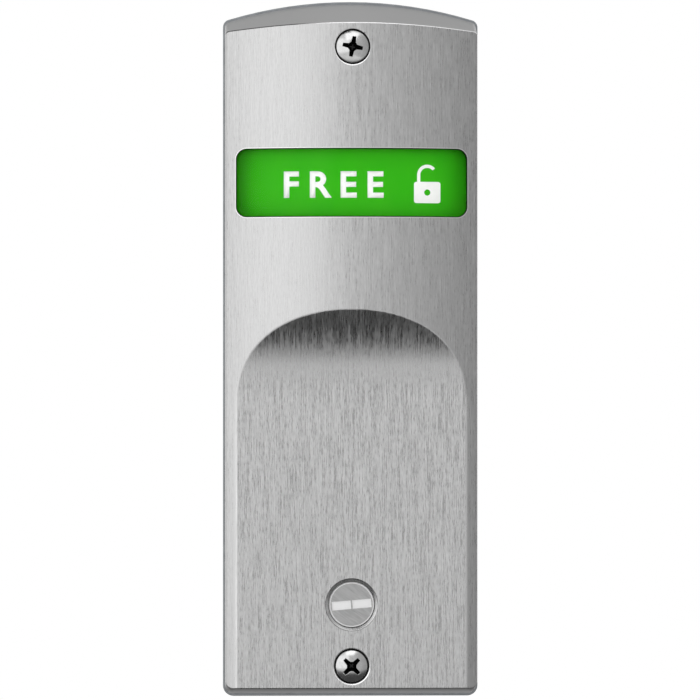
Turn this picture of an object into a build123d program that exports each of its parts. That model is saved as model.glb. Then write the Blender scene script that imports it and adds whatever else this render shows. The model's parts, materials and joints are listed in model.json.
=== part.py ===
from build123d import *
from math import cos, hypot, pi, radians, sin, sqrt, tan
import os

# Door occupancy indicator: a coin turn whose crank lifts a two-colour flag behind a curved window.
# Millimetres. X is to the right as the indicator is looked at, Y goes into the door and Z is up.
# The origin is on the door's face, on the axis of the coin turn, so every front face has a negative Y.
# At rest the turn stands in its first click, the flag is down and its green zone fills the window.

# Clearances
press_gap = 0.01  # radial, pressed and riveted seats
bearing_gap = 0.06  # radial, the turn in its bushing
slip_gap = 0.05  # radial, pieces slipped on or through by hand
end_play = 0.1  # along the turn's axis

# Cover
cover_width = 58.2
cover_wall = 2.0
arch_radius = 97.0  # of the top edge, seen from the front
flat_step = 8.0  # how far the flat lower half lies behind the crown
flat_edge = 2.567  # what the crown keeps on each side of the flat
top_fall = 5.2  # the top surface falls this much from the plate to the crown
bottom_rise = 1.8  # the bottom surface rises this much from the plate to the flat
front_edge_radius = 1.2  # upright edges between front and sides
top_corner_radius = 1.3
bottom_corner_radius = 2.0

# Finger scoop
scoop_radius = 31.3
scoop_start = 47.1  # above the turn's axis, where the flat turns forward
scoop_edge_radius = 1.0

# Window and lens
window_height = 15.4
window_corner = 2.3
window_edge = 0.62  # from the window's ends to the inside of the cover's walls
tape_thickness = 0.5
tape_set_back = 0.1
lens_thickness = 1.2
lens_lap = 1.6  # of the lens behind the cover, above and below the window
lens_side_gap = 0.2
pane_gap = 0.15
pane_recess = 0.6  # the pane's face lies this far behind the cover's

# Flag
flag_gap = 0.4  # behind the lens
flag_side_gap = 0.4
label_thickness = 0.2
flag_thickness = 1.2
zone_margin = 0.94  # each colour zone stands over the window by this much
flag_top_margin = 0.5
flag_above_scoop = 3.18
rib_thickness = 1.4
rib_spacing = 20.0
rib_top_depth = 2.5
foot_width = 26.0
foot_height = 15.0
foot_thickness = 1.2
foot_inset = 0.5  # the foot starts this far above the flag's lower edge
flag_rivet_radius = 1.5
flag_rivet_head = 2.5
flag_rivet_head_height = 0.75
flag_rivet_spacing = 12.0

# Slide and its rails
slide_thickness = 1.5
yoke_play = 0.5  # above and below the crank pin
yoke_end_gap = 0.32
yoke_wall = 2.2
fork_gap = 0.6  # round the shaft
fork_rise = 0.8  # the fork's round end stands this far above the shaft
slide_corner = 1.5
lightening_width = 10.0
lightening_length = 42.0
lightening_start = 15.0
rail_start = 20.0
rail_length = 46.0
rail_lip = 1.8
rail_web = 5.2
rail_cap = 1.25
rail_gap = 0.3
rail_slot_gap = 0.25
guide_screw_radius = 1.2
guide_screw_flats = 4.2  # across the flats of its six-sided head
guide_screw_head_height = 1.1
tenon_length = 4.0
tenon_width = 2.4
tenon_inset = 4.0  # from the rail's ends

# Coin turn and what sits on its shaft, from the plate outwards
head_radius = 5.1
head_gap = 0.2  # radial, in the cover
head_hole_chamfer = 0.7
head_recess = 0.8  # the head's face lies this far behind the flat
coin_slot_length = 9.1
coin_slot_width = 2.0
coin_slot_depth = 1.2
coin_slot_rib = 0.35
coin_slot_tilt = 5.0  # degrees
shaft_radius = 4.0
shaft_flat = 6.6  # across the two flats of the rear length
shaft_recess = 0.3  # the shaft ends this far short of the door
tail_slot_length = 6.2
tail_slot_width = 2.4
tail_slot_depth = 6.0
drive_square = 8.2
turn_flange_radius = 6.8
turn_flange_thickness = 1.2
turn_flange_gap = 0.4
bushing_wall = 1.14
washer_radius = 6.0
washer_thickness = 0.8
cam_radius = 7.0
cam_thickness = 1.3
cam_notch = 1.2
slide_gap = 0.3  # between the cam's face and the slide
ring_gap = 0.8  # between the slide and the retaining ring
ring_radius = 5.75
ring_thickness = 0.7
ring_groove = 0.5
ring_opening = 4.0
crank_thickness = 1.8
crank_hub_radius = 7.5
crank_tip_radius = 3.6
crank_pin_radius = 2.25
pin_reach = 0.3  # the pin passes through the slide by this much

# Detent spring on the plate, drawn at the height at which it rides over the cam's rim
leaf_thickness = 0.35
leaf_gap = 0.3
leaf_bump = 1.0
leaf_drop = 6.0
leaf_foot_start = 12.0
leaf_foot_height = 7.5
leaf_foot_width = 7.0
leaf_tab_width = 3.0
leaf_rivet_radius = 1.0
leaf_rivet_head = 1.6
leaf_rivet_head_height = 0.5

# Mounting plate
plate_thickness = 2.0
plate_reveal = 0.45  # the plate's rim shows this much all round the cover
plate_set_back = 0.1  # what passes through the plate ends this far short of the door
door_hole_radius = 2.2
door_hole_inset = 7.1  # from the cover's side
door_hole_low = 4.0  # lower holes below the turn's axis
door_hole_drop = 16.2  # upper holes below the upper cover screw

# Cover screws, their bosses and standoffs
screw_radius = 2.08
screw_hole_radius = 2.25
screw_head_radius = 3.95
screw_crown = 1.0
screw_crown_flat = 2.2
screw_length = 9.5
sink_radius = 4.15
sink_angle = 82.0  # degrees, whole cone
boss_depth = 3.2  # from the cover's face to the back of the boss
boss_radius = 4.9
standoff_flats = 7.0  # across the flats of the six-sided bar
thread_radius = 2.15
thread_run_out = 1.0
hub_to_boss = 1.8
flag_to_boss = 0.72
screw_to_top = 10.8
screw_to_bottom = 6.9

# Places along Y, worked out from the door's face outwards
plate_front = -plate_thickness
washer_back = plate_front - end_play
washer_front = washer_back - washer_thickness
cam_front = washer_front - cam_thickness
slide_back = cam_front - slide_gap
slide_front = slide_back - slide_thickness
foot_front = slide_front - foot_thickness
ring_back = slide_front - ring_gap
ring_front = ring_back - ring_thickness
crank_back = ring_front - end_play
crank_front = crank_back - crank_thickness
flange_front = crank_front - turn_flange_thickness
flat_front = flange_front - turn_flange_gap - cover_wall
crown_front = flat_front - flat_step
head_front = flat_front + head_recess

# Places along X
cover_half = cover_width / 2
inner_half = cover_half - cover_wall
flat_half = cover_half - flat_edge
window_width = 2 * (inner_half - window_edge)
flag_width = 2 * (inner_half - flag_side_gap)
door_hole_x = cover_half - door_hole_inset

# The crown's arc passes over both edges of the flat and stands flat_step in front of it
crown_radius = (flat_half**2 + flat_step**2) / (2 * flat_step)
crown_centre = crown_front + crown_radius

# Radii of the pieces bent round the crown's axis, from the cover inwards
tape_radius = crown_radius - cover_wall
lens_radius = tape_radius - tape_thickness
label_radius = lens_radius - lens_thickness - flag_gap
flag_radius = label_radius - label_thickness

# Motion: the crank swings from 45 degrees below the level to 45 above it
flag_travel = window_height + 2 * zone_margin
quarter_turn = pi / 2
crank_radius = flag_travel / (2 * sin(quarter_turn / 2))
pin_x = crank_radius * cos(quarter_turn / 2)
pin_z = -crank_radius * sin(quarter_turn / 2)
travel_per_radian = flag_travel / quarter_turn

# Places along Z, from the turn's axis up and down
scoop_top = scoop_start + sqrt(scoop_radius**2 - (scoop_radius - flat_step) ** 2)
flag_bottom = scoop_top + flag_above_scoop
zone_split = flag_bottom + flag_travel
window_middle = zone_split + flag_travel / 2
flag_top = window_middle + window_height / 2 + flag_top_margin
upper_screw = flag_top + flag_travel + flag_to_boss + boss_radius
lower_screw = -(crank_hub_radius + hub_to_boss + boss_radius)
cover_top = upper_screw + screw_to_top
cover_bottom = lower_screw - screw_to_bottom
cover_height = cover_top - cover_bottom
foot_bottom = flag_bottom + foot_inset
slide_top = foot_bottom + foot_height
yoke_height = 2 * (crank_pin_radius + yoke_play)
slide_bottom = pin_z - yoke_height / 2 - yoke_wall
slide_half = crank_radius + crank_pin_radius + yoke_end_gap + yoke_wall
upper_door_hole = upper_screw - door_hole_drop
rail_middle = rail_start + rail_length / 2
rail_screw_x = slide_half + rail_gap + rail_web / 2
leaf_foot_middle = leaf_foot_start + leaf_foot_height / 2
leaf_face = -(cam_radius + leaf_gap + leaf_bump)
leaf_back = leaf_face - leaf_thickness
leaf_foot_x = leaf_back - leaf_foot_width / 2

# Slopes of the cover's ends, millimetres of height for each millimetre of depth
top_slope = top_fall / (plate_front - crown_front)
bottom_slope = bottom_rise / (plate_front - flat_front)

past = 30.0  # cutters reach this far past what they cut
near = 1e-3  # a point this near a surface counts as on it


def slab(face, front, back):
    """A front-view face given its thickness, from its front at one depth to its back at another."""
    return extrude(Plane.XZ.offset(-back) * face, back - front)


def rod(radius, front, back, x=0.0, z=0.0):
    """A round bar lying along Y."""
    return Pos(x, (front + back) / 2, z) * Rot(90, 0, 0) * Cylinder(radius, back - front)


def cone(front_radius, back_radius, front, back, x=0.0, z=0.0):
    """A tapered round bar lying along Y."""
    taper = Cone(back_radius, front_radius, back - front)
    return Pos(x, (front + back) / 2, z) * Rot(90, 0, 0) * taper


def six_sided(flats):
    """A hexagon with two flats level."""
    return RegularPolygon(flats / 2, 6, major_radius=False)


def column(radius):
    """A tall upright bar on the axis of the cover's crown."""
    height = cover_top - cover_bottom + 2 * past
    return Pos(0, crown_centre, (cover_top + cover_bottom) / 2) * Cylinder(radius, height)


def bent(face, outer_radius, thickness):
    """A panel bent round the crown's axis, cut to a front-view outline."""
    tube = column(outer_radius) - column(outer_radius - thickness)
    return slab(face, crown_front - past, 0) & tube


def rounded(face, corners, radius):
    """A face with some corners rounded, or left sharp where the inset has used up the radius."""
    return fillet(corners, radius) if radius > 0 else face


def top_waste(inset, slope):
    """What is cut off round the arched top, its highest point at the middle, square to its slope."""
    half = cover_half - inset
    radius = (arch_radius - inset) * hypot(1, slope)
    shoulder = sqrt(radius**2 - half**2) - radius
    floor = shoulder - past
    sides = Polyline((half, shoulder), (half, floor), (-half, floor), (-half, shoulder))
    kept = make_face(sides + ThreePointArc((-half, shoulder), (0, 0), (half, shoulder)))
    kept = rounded(kept, kept.vertices().sort_by(Axis.Y)[2:], top_corner_radius - inset)
    return Pos(0, (floor + past) / 2) * Rectangle(2 * (half + past), past - floor) - kept


def bottom_waste(inset):
    """What is cut off round the straight bottom, its line through the middle, square to its slope."""
    half = cover_half - inset
    kept = Pos(0, past / 2) * Rectangle(2 * half, past)
    kept = rounded(kept, kept.vertices().sort_by(Axis.Y)[:2], bottom_corner_radius - inset)
    return Rectangle(2 * (half + past), 2 * past) - kept


def swept(waste, z, slope):
    """A cutter that starts at a height on the plate's front and rises by slope as it comes forward."""
    square = Plane((0, plate_front, z), x_dir=(1, 0, 0), z_dir=(0, -1, slope))
    return extrude(square * waste, past, both=True)


def ended(body, inset, rise, drop):
    """A body cut to the cover's top and bottom, drawn in by inset, at these slopes."""
    body = body - swept(top_waste(inset, rise), cover_top - inset, rise)
    return body - swept(bottom_waste(inset), cover_bottom + inset, drop)


def section(inset):
    """The cover's block seen from above, drawn in by inset: flat back, straight sides, crowned front."""
    half = cover_half - inset
    radius = crown_radius - inset
    corner = crown_centre - sqrt(radius**2 - half**2)
    sides = Polyline((half, corner), (half, plate_front), (-half, plate_front), (-half, corner))
    crown = ThreePointArc((-half, corner), (0, crown_centre - radius), (half, corner))
    face = make_face(sides + crown)
    return rounded(face, face.vertices().sort_by(Axis.Y)[:2], front_edge_radius - inset)


def scoop(inset):
    """What the flat and the scoop take from the block, drawn in by inset."""
    flat = flat_front + inset
    radius = scoop_radius + inset
    middle = flat - radius
    floor = cover_bottom - past
    straight = Polyline((flat, scoop_start), (flat, floor), (middle, floor), (middle, scoop_start + radius))
    curve = ThreePointArc(
        (middle, scoop_start + radius),
        (middle + radius * cos(pi / 4), scoop_start + radius * sin(pi / 4)),
        (flat, scoop_start),
    )
    return extrude(Plane.YZ * make_face(straight + curve), cover_width, both=True)


def block(inset):
    """The cover's outer shape, or the hollow inside it, before the scoop."""
    tall = Pos(0, 0, cover_bottom - cover_wall) * extrude(section(inset), cover_height + 2 * cover_wall)
    return ended(tall, inset, -top_slope, bottom_slope)


def on_crown(point):
    """Does a point lie on the crowned front?"""
    return abs(hypot(point.X, point.Y - crown_centre) - crown_radius) < near


def on_scoop(point):
    """Does a point lie on the flat or on the scoop?"""
    on_flat = abs(point.Y - flat_front) < near and point.Z < scoop_start + near
    reach = hypot(point.Y - (flat_front - scoop_radius), point.Z - scoop_start)
    return on_flat or abs(reach - scoop_radius) < near


def scoop_rim(body):
    """The edges where the crowned front breaks into the flat and the scoop."""
    chosen = []
    for edge in body.edges():
        points = [edge.position_at(share) for share in (0.1, 0.5, 0.9)]
        if all(on_crown(point) and on_scoop(point) for point in points):
            chosen.append(edge)
    return chosen


def screw_sink(face, z):
    """What a cover screw takes from the cover and its boss: a cone to its own angle, then a hole."""
    depth = (sink_radius - screw_hole_radius) / tan(radians(sink_angle / 2))
    mouth = rod(sink_radius, face - cover_wall, face, 0, z)
    flank = cone(sink_radius, screw_hole_radius, face, face + depth, 0, z)
    return mouth + flank + rod(screw_hole_radius, face, face + boss_depth, 0, z)


def window_face(grow):
    """The window's outline, larger or smaller by grow on every side."""
    width = window_width + 2 * grow
    height = window_height + 2 * grow
    return Pos(0, window_middle) * RectangleRounded(width, height, window_corner + grow)


def front_cover():
    """One casting: crowned and scooped front with its sides and ends, screw bosses, window and holes."""
    body = block(0) - scoop(0)
    body = fillet(scoop_rim(body), scoop_edge_radius)
    body -= block(cover_wall) - scoop(cover_wall)
    for face, z in ((crown_front, upper_screw), (flat_front, lower_screw)):
        body += rod(boss_radius, face + cover_wall / 2, face + boss_depth, 0, z)
    for face, z in ((crown_front, upper_screw), (flat_front, lower_screw)):
        body -= screw_sink(face, z)
    body -= slab(window_face(0), crown_front - past, plate_front)
    hole = head_radius + head_gap
    body -= rod(hole, flat_front - past, plate_front)
    body -= cone(hole + head_hole_chamfer, hole, flat_front, flat_front + head_hole_chamfer)
    return body


def mounting_plate():
    """Flat plate screwed to the door, with the bearing's seat and the holes for what it carries."""
    blank_face = Rectangle(cover_width + 2 * plate_reveal, cover_height + 2 * cover_wall)
    blank = slab(Pos(0, (cover_top + cover_bottom) / 2) * blank_face, plate_front, 0)
    plate = ended(blank, -plate_reveal, 0, 0)
    plate -= rod(shaft_radius + bearing_gap + bushing_wall + press_gap, plate_front, 0)
    for x in (door_hole_x, -door_hole_x):
        for z in (upper_door_hole, -door_hole_low):
            plate -= rod(door_hole_radius, plate_front, 0, x, z)
    for side in (1, -1):
        plate -= rod(guide_screw_radius + press_gap, plate_front, 0, side * rail_screw_x, rail_middle)
        plate -= rail_tenons(side, press_gap, 0)
    plate -= rod(leaf_rivet_radius + press_gap, plate_front, 0, leaf_foot_x, leaf_foot_middle)
    return plate - leaf_tab(press_gap, 0)


def standoff(face, z):
    """A tapped six-sided post, its foot welded to the plate, its front against the back of one boss."""
    front = face + boss_depth
    bore_end = face + screw_length + thread_run_out
    post = slab(Pos(0, z) * six_sided(standoff_flats), front, plate_front)
    return post - rod(thread_radius, front, bore_end, 0, z)


def upper_standoff():
    """The post behind the upper cover screw."""
    return standoff(crown_front, upper_screw)


def lower_standoff():
    """The post behind the lower cover screw."""
    return standoff(flat_front, lower_screw)


def cover_screw(face, z):
    """A raised countersunk screw seated in its countersink, turned from its half section."""
    rim = face + (sink_radius - screw_head_radius) / tan(radians(sink_angle / 2))
    neck = rim + (screw_head_radius - screw_radius) / tan(radians(sink_angle / 2))
    crown = rim - screw_crown
    tip = face + screw_length
    half_section = Polyline(
        (0, crown),
        (screw_crown_flat, crown),
        (screw_head_radius, rim),
        (screw_radius, neck),
        (screw_radius, tip),
        (0, tip),
        close=True,
    )
    return Pos(0, 0, z) * revolve(make_face(half_section), Axis.Y)


def cover_screws():
    """The two screws that hold the cover."""
    return Compound([*cover_screw(crown_front, upper_screw).solids(),
                     *cover_screw(flat_front, lower_screw).solids()])


def window_lens():
    """Clear lens: a bent flange behind the cover and a pane that fills the window."""
    flange_face = Rectangle(2 * (inner_half - lens_side_gap), window_height + 2 * lens_lap)
    flange = bent(Pos(0, window_middle) * flange_face, lens_radius, lens_thickness)
    pane_radius = crown_radius - pane_recess
    return flange + bent(window_face(-pane_gap), pane_radius, pane_radius - lens_radius + lens_thickness / 2)


def lens_tapes():
    """Two foam tapes between the lens's flange and the cover, above and below the window."""
    height = lens_lap - tape_set_back
    face = Rectangle(2 * (inner_half - lens_side_gap), height)
    offset = window_height / 2 + tape_set_back + height / 2
    tapes = []
    for side in (1, -1):
        tapes += bent(Pos(0, window_middle + side * offset) * face, tape_radius, tape_thickness).solids()
    return Compound(tapes)


def rail_tenons(side, grow, back):
    """The two tenons of one rail, or the plate's slots for them with grow all round."""
    face = Rectangle(tenon_width + 2 * grow, tenon_length + 2 * grow)
    offset = rail_length / 2 - tenon_inset - tenon_length / 2
    low = slab(Pos(side * rail_screw_x, rail_middle - offset) * face, plate_front, back)
    return low + Pos(0, 0, 2 * offset) * low


def guide_rail(side):
    """A channel rail: its groove takes one edge of the slide, its tenons are staked in the plate."""
    groove_front = slide_front - rail_slot_gap
    front = groove_front - rail_cap
    inner = slide_half - rail_lip + rail_gap
    web = slide_half + rail_gap
    outer = web + rail_web
    bar = Pos(side * (inner + outer) / 2, rail_middle) * Rectangle(outer - inner, rail_length)
    groove = Pos(side * (inner + web) / 2, rail_middle) * Rectangle(web - inner, rail_length)
    rail = slab(bar, front, plate_front) - slab(groove, groove_front, slide_back + rail_slot_gap)
    rail += rail_tenons(side, 0, -plate_set_back)
    return rail - rod(guide_screw_radius + slip_gap, front, plate_front, side * rail_screw_x, rail_middle)


def guide_rail_right():
    """The rail on the crank's side."""
    return guide_rail(1)


def guide_rail_left():
    """The rail on the spring's side."""
    return guide_rail(-1)


def guide_screws():
    """Two small screws that hold the rails to the plate."""
    seat = slide_front - rail_slot_gap - rail_cap
    screws = []
    for x in (rail_screw_x, -rail_screw_x):
        head = slab(Pos(x, rail_middle) * six_sided(guide_screw_flats), seat - guide_screw_head_height, seat)
        screws += (head + rod(guide_screw_radius, seat, -plate_set_back, x, rail_middle)).solids()
    return Compound(screws)


def turn_bushing():
    """Bearing of the turn's shaft, pressed flush into the plate."""
    bore = shaft_radius + bearing_gap
    return rod(bore + bushing_wall, plate_front, 0) - rod(bore, plate_front, 0)


def leaf_tab(grow, back):
    """The tab that keeps the detent spring from turning, or the plate's slot for it."""
    left = leaf_foot_x - leaf_foot_width / 2
    face = Rectangle(leaf_thickness + 2 * grow, leaf_tab_width + 2 * grow)
    return slab(Pos(left + leaf_thickness / 2, leaf_foot_middle) * face, plate_front, back)


def detent_spring():
    """Bent leaf: a foot flat on the plate and a standing blade whose bump clicks into the cam."""
    front = cam_front + end_play
    seat = plate_front - leaf_thickness
    middle = (leaf_face + leaf_back) / 2
    top = leaf_foot_start + leaf_foot_height
    strip = Pos(middle, (top - leaf_drop) / 2) * Rectangle(leaf_thickness, top + leaf_drop)
    bump_outer = leaf_bump + leaf_thickness
    bump = Pos(leaf_back, 0) * Circle(bump_outer)
    bump = bump & Pos(leaf_back + bump_outer, 0) * Rectangle(2 * bump_outer, 2 * bump_outer)
    blade = slab(strip + bump - Pos(leaf_back, 0) * Circle(leaf_bump), front, plate_front - slide_gap)
    root_face = Pos(middle, leaf_foot_middle) * Rectangle(leaf_thickness, leaf_foot_height)
    foot_face = Pos(leaf_foot_x, leaf_foot_middle) * Rectangle(leaf_foot_width, leaf_foot_height)
    spring = blade + slab(root_face, front, plate_front) + slab(foot_face, seat, plate_front)
    spring += leaf_tab(0, -plate_set_back)
    return spring - rod(leaf_rivet_radius + press_gap, seat, plate_front, leaf_foot_x, leaf_foot_middle)


def detent_rivet():
    """Small rivet that holds the detent spring."""
    seat = plate_front - leaf_thickness
    head = rod(leaf_rivet_head, seat - leaf_rivet_head_height, seat, leaf_foot_x, leaf_foot_middle)
    return head + rod(leaf_rivet_radius, seat, -plate_set_back, leaf_foot_x, leaf_foot_middle)


def indicator_slide():
    """Flat slide: forked round the shaft, slotted for the crank pin, its edges in the rails."""
    height = slide_top - slide_bottom
    face = Pos(0, slide_bottom + height / 2) * Rectangle(2 * slide_half, height)
    face = chamfer(face.vertices(), slide_corner)
    fork = shaft_radius + fork_gap
    face -= Pos(0, fork_rise) * Circle(fork)
    face -= Pos(0, (fork_rise + slide_bottom) / 2) * Rectangle(2 * fork, fork_rise - slide_bottom)
    slot_left = pin_x - crank_pin_radius - yoke_end_gap
    slot_right = crank_radius + crank_pin_radius + yoke_end_gap
    slot_middle = Pos((slot_left + slot_right) / 2, pin_z)
    face -= slot_middle * Rectangle(slot_right - slot_left, yoke_height)
    lightening = Rectangle(lightening_width, lightening_length)
    lightening = chamfer(lightening.vertices(), slide_corner)
    face -= Pos(0, lightening_start + lightening_length / 2) * lightening
    slide = slab(face, slide_front, slide_back)
    for x, z in flag_rivet_places():
        slide -= rod(flag_rivet_radius + press_gap, slide_front, slide_back, x, z)
    return slide


def flag_rivet_places():
    """Where the flag is riveted to the slide, as X and Z."""
    middle = foot_bottom + foot_height / 2
    return [(flag_rivet_spacing / 2, middle), (-flag_rivet_spacing / 2, middle)]


def flag_zone(bottom, top):
    """Front-view outline of a stretch of the flag."""
    return Pos(0, (bottom + top) / 2) * Rectangle(flag_width, top - bottom)


def flag_carrier():
    """Moulded flag: a bent panel on two ribs, a shelf and a foot that is riveted to the slide."""
    panel = bent(flag_zone(flag_bottom, flag_top), flag_radius, flag_thickness)
    skin = flag_radius - flag_thickness / 2
    rib_x = rib_spacing / 2
    rib_front = crown_centre - sqrt(skin**2 - (rib_x - rib_thickness / 2) ** 2)
    rib_high = flag_top - rib_top_depth
    side_view = Polyline(
        (rib_front, foot_bottom),
        (rib_front, rib_high),
        (rib_front + rib_top_depth, rib_high),
        (foot_front, slide_top),
        (foot_front, foot_bottom),
        close=True,
    )
    rib = extrude(Plane.YZ * make_face(side_view), rib_thickness / 2, both=True)
    ribs = [Pos(side * rib_x, 0, 0) * rib & column(skin) for side in (1, -1)]
    shelf_face = Pos(0, foot_bottom + rib_thickness / 2) * Rectangle(rib_spacing, rib_thickness)
    shelf = slab(shelf_face, crown_front, foot_front) & column(skin)
    foot_face = Pos(0, foot_bottom + foot_height / 2) * Rectangle(foot_width, foot_height)
    foot = slab(foot_face, foot_front, slide_front)
    body = panel + ribs[0] + ribs[1] + shelf + foot
    for x, z in flag_rivet_places():
        body -= rod(flag_rivet_radius + press_gap, foot_front, slide_front, x, z)
    return body


def green_label():
    """Green film on the upper half of the flag, in the window at rest."""
    return bent(flag_zone(zone_split, flag_top), label_radius, label_thickness)


def red_label():
    """Red film on the lower half of the flag, in the window after the quarter turn."""
    return bent(flag_zone(flag_bottom, zone_split), label_radius, label_thickness)


def flag_rivets():
    """Two rivets through the flag's foot and the slide, flush at the back."""
    rivets = []
    for x, z in flag_rivet_places():
        head = rod(flag_rivet_head, foot_front - flag_rivet_head_height, foot_front, x, z)
        rivets += (head + rod(flag_rivet_radius, foot_front, slide_back, x, z)).solids()
    return Compound(rivets)


def coin_turn():
    """The slotted head, its flange behind the cover, the square for the crank and the shaft to the bolt."""
    head = rod(head_radius, head_front, flange_front)
    slot = Rot(0, 0, coin_slot_tilt) * Rectangle(coin_slot_length, coin_slot_width)
    rib = Rot(0, 0, coin_slot_tilt) * Rectangle(coin_slot_rib, coin_slot_width)
    head -= slab(slot - rib, head_front, head_front + coin_slot_depth)
    flange = rod(turn_flange_radius, flange_front, crank_front)
    square = slab(Rectangle(drive_square, drive_square), crank_front, crank_back)
    groove_back = ring_back + slip_gap
    groove = rod(shaft_radius - ring_groove, crank_back, groove_back)
    journal = rod(shaft_radius, groove_back, cam_front)
    tail_end = -shaft_recess
    tail = slab(double_flat(0), cam_front, tail_end)
    socket = Rectangle(tail_slot_width, tail_slot_length)
    body = head + flange + square + groove + journal + tail
    return body - slab(socket, tail_end - tail_slot_depth, tail_end)


def double_flat(gap):
    """Section of the shaft's rear length, which the cam and the washer key on."""
    radius = shaft_radius + gap
    return Circle(radius) & Rectangle(shaft_flat + 2 * gap, 2 * radius)


def crank_arm():
    """Crank plate: a hub on the turn's square and an arm out to the drive pin."""
    hub = Circle(crank_hub_radius)
    tip = Pos(pin_x, pin_z) * Circle(crank_tip_radius)
    arm = make_hull(hub.edges() + tip.edges())
    side = drive_square + 2 * slip_gap
    arm -= Rectangle(side, side)
    arm -= Pos(pin_x, pin_z) * Circle(crank_pin_radius + press_gap)
    return slab(arm, crank_front, crank_back)


def crank_pin():
    """Drive pin: pressed through the crank, it runs in the slide's slot."""
    return rod(crank_pin_radius, crank_front, slide_back + pin_reach, pin_x, pin_z)


def retaining_ring():
    """Open ring in the shaft's groove, behind the crank."""
    inner = shaft_radius - ring_groove + slip_gap
    face = Circle(ring_radius) - Circle(inner)
    face -= Pos(-ring_radius / 2, ring_radius / 2) * Rot(0, 0, 45) * Rectangle(ring_opening, 2 * ring_radius)
    return slab(face, ring_front, ring_back)


def detent_cam():
    """Disc keyed to the shaft, with a notch for each end of the quarter turn."""
    face = Circle(cam_radius) - double_flat(slip_gap)
    face -= Pos(-cam_radius, 0) * Circle(cam_notch)
    face -= Pos(0, cam_radius) * Circle(cam_notch)
    return slab(face, cam_front, washer_front)


def turn_washer():
    """Thrust washer between the cam and the bushing."""
    return slab(Circle(washer_radius) - double_flat(slip_gap), washer_front, washer_back)


pieces = [
    front_cover,
    mounting_plate,
    upper_standoff,
    lower_standoff,
    cover_screws,
    window_lens,
    lens_tapes,
    guide_rail_left,
    guide_rail_right,
    guide_screws,
    turn_bushing,
    detent_spring,
    detent_rivet,
    indicator_slide,
    flag_carrier,
    green_label,
    red_label,
    flag_rivets,
    coin_turn,
    crank_arm,
    crank_pin,
    retaining_ring,
    detent_cam,
    turn_washer,
]

os.makedirs("parts", exist_ok=True)
for piece in pieces:
    export_step(piece(), f"parts/{piece.__name__}.step")
print("flag travel", round(flag_travel, 3), "mm, per radian", round(travel_per_radian, 4))
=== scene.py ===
import json
import math

import bmesh
import bpy
from mathutils import Matrix, Vector

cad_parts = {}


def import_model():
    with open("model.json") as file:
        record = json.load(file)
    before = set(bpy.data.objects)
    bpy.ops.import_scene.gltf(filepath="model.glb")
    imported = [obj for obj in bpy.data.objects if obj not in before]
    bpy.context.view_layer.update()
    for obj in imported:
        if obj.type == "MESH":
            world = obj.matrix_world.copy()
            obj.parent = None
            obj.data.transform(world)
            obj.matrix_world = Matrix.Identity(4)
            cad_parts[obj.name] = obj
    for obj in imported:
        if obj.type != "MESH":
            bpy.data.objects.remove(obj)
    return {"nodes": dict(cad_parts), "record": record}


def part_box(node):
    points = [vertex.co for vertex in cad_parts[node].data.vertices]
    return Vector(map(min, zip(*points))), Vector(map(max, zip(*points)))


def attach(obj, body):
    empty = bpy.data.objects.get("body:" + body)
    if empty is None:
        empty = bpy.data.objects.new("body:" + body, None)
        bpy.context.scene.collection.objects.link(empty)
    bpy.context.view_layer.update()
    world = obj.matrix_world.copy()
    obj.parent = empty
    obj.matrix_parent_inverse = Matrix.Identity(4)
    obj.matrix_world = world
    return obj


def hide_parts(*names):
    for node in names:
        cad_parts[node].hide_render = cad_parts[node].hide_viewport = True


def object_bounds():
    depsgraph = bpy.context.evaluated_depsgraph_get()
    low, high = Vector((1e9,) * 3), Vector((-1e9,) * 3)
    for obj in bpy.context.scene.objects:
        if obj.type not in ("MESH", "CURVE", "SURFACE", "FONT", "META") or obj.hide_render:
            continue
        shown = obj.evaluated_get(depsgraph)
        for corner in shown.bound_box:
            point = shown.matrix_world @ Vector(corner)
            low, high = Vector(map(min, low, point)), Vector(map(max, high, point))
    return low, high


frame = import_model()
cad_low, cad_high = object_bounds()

# Door occupancy indicator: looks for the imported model. Metres, X right, Y into the door, Z up.
MM = 0.001
nodes = frame["nodes"]

# Places read from the frame
cover_low, cover_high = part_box("front_cover")
screws_low, screws_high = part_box("cover_screws")
turn_low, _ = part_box("coin_turn")
green_low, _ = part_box("green_label")
red_low, red_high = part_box("red_label")
lens_low, lens_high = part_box("window_lens")

# Real sizes that the frame doesn't give
CROWN_RADIUS = 48.0 * MM
FLAT_STEP = 8.0 * MM
WINDOW_WIDTH = 52.96 * MM
WINDOW_HEIGHT = 15.4 * MM
WINDOW_CORNER = 2.3 * MM
SINK_RADIUS = 4.15 * MM
SINK_HALF_ANGLE = math.radians(41.0)
SCREW_NODE_RADIUS = 3.95 * MM
TURN_RADIUS = 5.1 * MM
TURN_EDGE = 0.20 * MM
TURN_HOLE_RADIUS = 5.3 * MM
TURN_CHAMFER_RADIUS = 5.95 * MM
SLOT_DEPTH = 1.2 * MM

crown_front = cover_low.y
flat_front = crown_front + FLAT_STEP
crown_axis = crown_front + CROWN_RADIUS
window_middle = (lens_low.z + lens_high.z) / 2
upper_screw_z = screws_high.z - SCREW_NODE_RADIUS
lower_screw_z = screws_low.z + SCREW_NODE_RADIUS
scene = bpy.context.scene


# Materials. The plain ones of the pack go, because each piece gets its own finish here

for packed in list(bpy.data.materials):
    bpy.data.materials.remove(packed)


def linear(code):
    """An sRGB hex colour as linear red, green, blue and alpha."""
    parts = [int(code[i:i + 2], 16) / 255 for i in (1, 3, 5)]
    return [c / 12.92 if c <= 0.04045 else ((c + 0.055) / 1.055) ** 2.4 for c in parts] + [1.0]


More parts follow.
